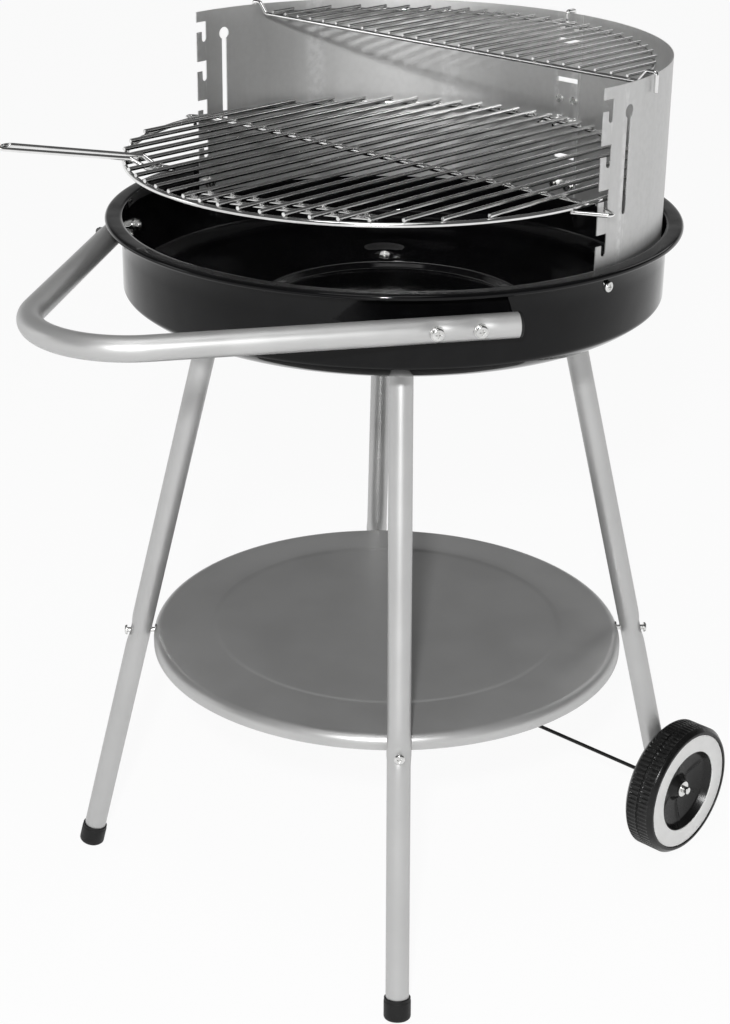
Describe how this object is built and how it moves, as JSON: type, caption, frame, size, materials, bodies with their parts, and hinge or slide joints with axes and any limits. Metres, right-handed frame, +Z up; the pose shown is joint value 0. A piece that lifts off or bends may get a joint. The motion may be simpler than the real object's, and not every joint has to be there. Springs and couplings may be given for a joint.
{
  "type": "round charcoal barbecue",
  "caption": "Open round charcoal barbecue: enamelled fire bowl on splayed tube legs, half-round windshield, grid, warming rack, shelf, push handle and wheels.",
  "frame": {"origin": "middle of the footprint, on the ground", "axes": "+Z up; the user stands at -Y beside the push handle; the axle runs along X and the windshield closes the +Y side"},
  "size_m": [0.54, 0.6994, 0.8483],
  "materials": {
    "enamel_black": "gloss enamel",
    "silver_paint": "satin silver",
    "satin_sheet": "satin, rolled",
    "chrome_wire": "bright plated",
    "zinc_steel": "bright zinc",
    "black_rod": "black",
    "black_rubber": "matt",
    "black_plastic": "matt",
    "wheel_black": "satin moulded",
    "white_plastic": "satin"
  },
  "bodies": {
    "root": {"axle_cap_left": "zinc_steel", "axle_cap_right": "zinc_steel", "axle_rod": "black_rod", "axle_spacer_left": "black_plastic", "axle_spacer_right": "black_plastic", "axle_washer_left": "zinc_steel", "axle_washer_right": "zinc_steel", "fire_bowl": "enamel_black", "foot_front_left": "black_rubber", "foot_front_right": "black_rubber", "handle_bolts": "zinc_steel", "handle_nuts": "zinc_steel", "handle_plugs": "black_plastic", "handle_saddles": "zinc_steel", "leg_front_left": "silver_paint", "leg_front_right": "silver_paint", "leg_rear_left": "silver_paint", "leg_rear_right": "silver_paint", "leg_screws": "zinc_steel", "push_handle": "silver_paint", "shelf": "silver_paint", "shelf_nuts": "zinc_steel", "shelf_screws": "zinc_steel", "socket_front_left": "black_plastic", "socket_front_right": "black_plastic", "socket_rear_left": "black_plastic", "socket_rear_right": "black_plastic", "windshield_left": "satin_sheet", "windshield_nuts": "zinc_steel", "windshield_right": "satin_sheet", "windshield_rivets": "zinc_steel", "windshield_screws": "zinc_steel", "windshield_spacers": "zinc_steel", "windshield_strip": "satin_sheet"},
    "right_wheel": {"wheel_right": "wheel_black", "wheel_ring_right": "white_plastic"},
    "left_wheel": {"wheel_left": "wheel_black", "wheel_ring_left": "white_plastic"},
    "cooking_grid": {"grid_bars": "chrome_wire", "grid_cross_bar": "chrome_wire", "grid_handle_inner": "chrome_wire", "grid_handle_outer": "chrome_wire", "grid_rear_ear": "chrome_wire", "grid_ring": "chrome_wire", "grid_side_ears": "chrome_wire"},
    "warming_rack": {"rack_arc": "chrome_wire", "rack_bars": "chrome_wire", "rack_chord": "chrome_wire", "rack_rear_hook": "chrome_wire"}
  },
  "joints": [
    {"name": "right_wheel_spin", "type": "hinge", "parent": "root", "child": "right_wheel", "pos_m": [0.2279, 0.27971, 0.07], "axis": [1, 0, 0], "continuous": true},
    {"name": "left_wheel_spin", "type": "hinge", "parent": "root", "child": "left_wheel", "pos_m": [-0.2279, 0.27971, 0.07], "axis": [1, 0, 0], "continuous": true},
    {"name": "grid_tilt", "type": "hinge", "parent": "root", "child": "cooking_grid", "pos_m": [0.0078, 0.32026, 0.7391], "axis": [-1, 0, 0], "range_deg": [0, 2.7]},
    {"name": "rack_lift", "type": "slide", "parent": "root", "child": "warming_rack", "axis": [0, 0, 1], "range_m": [0, 0.06]}
  ]
}
